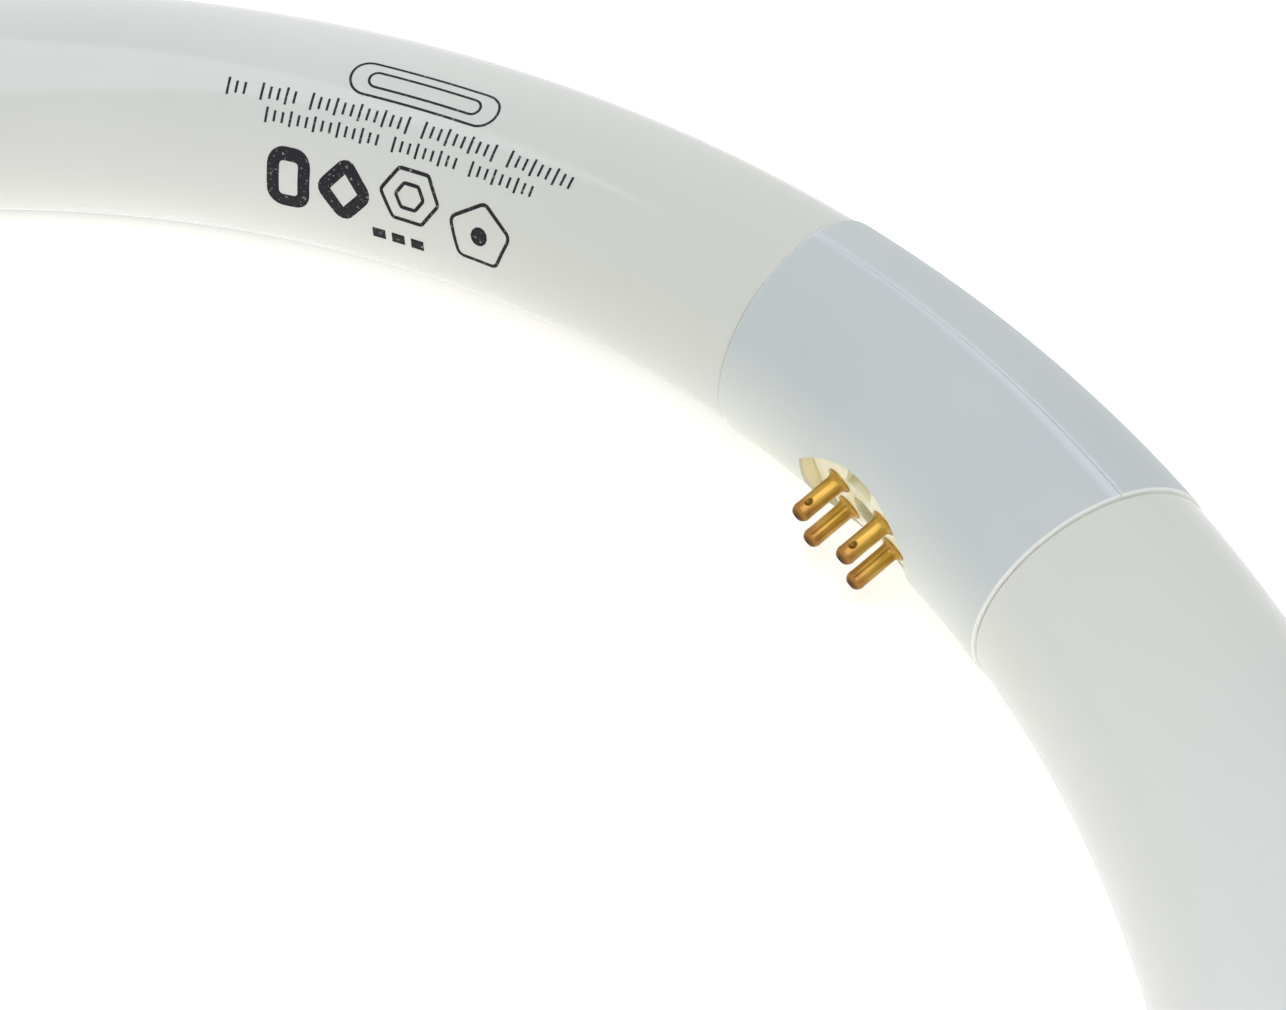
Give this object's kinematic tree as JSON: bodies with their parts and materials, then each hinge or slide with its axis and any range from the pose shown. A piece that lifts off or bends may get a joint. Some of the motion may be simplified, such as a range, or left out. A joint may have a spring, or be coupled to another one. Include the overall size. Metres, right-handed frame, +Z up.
{
  "type": "circular fluorescent tube",
  "caption": "Ring-shaped fluorescent tube of white coated glass, its ends joined by a moulded plastic cap with brass contact pins that point inwards.",
  "frame": {"origin": "centre of the ring, on the plane that the lamp lies on", "axes": "+Z up, square to the ring's plane; +X from the lamp's centre through the middle of the cap; +Y along the tube at the cap"},
  "size_m": [0.3053, 0.305, 0.0296],
  "materials": {
    "coated_glass": "glossy clear glass over a matt white powder coating inside, opaque",
    "cap_plastic": "satin moulded plastic, cool white",
    "block_plastic": "moulded plastic, cream",
    "pin_brass": "bright rolled brass",
    "lead_metal": "drawn wire"
  },
  "bodies": {
    "root": {"discharge_tube": "coated_glass", "cap_inner_shell": "cap_plastic", "cap_outer_shell": "cap_plastic", "contact_block": "block_plastic", "contact_pin_1": "pin_brass", "lead_wire_1": "lead_metal", "contact_pin_2": "pin_brass", "lead_wire_2": "lead_metal", "contact_pin_3": "pin_brass", "lead_wire_3": "lead_metal", "contact_pin_4": "pin_brass", "lead_wire_4": "lead_metal"}
  },
  "joints": []
}
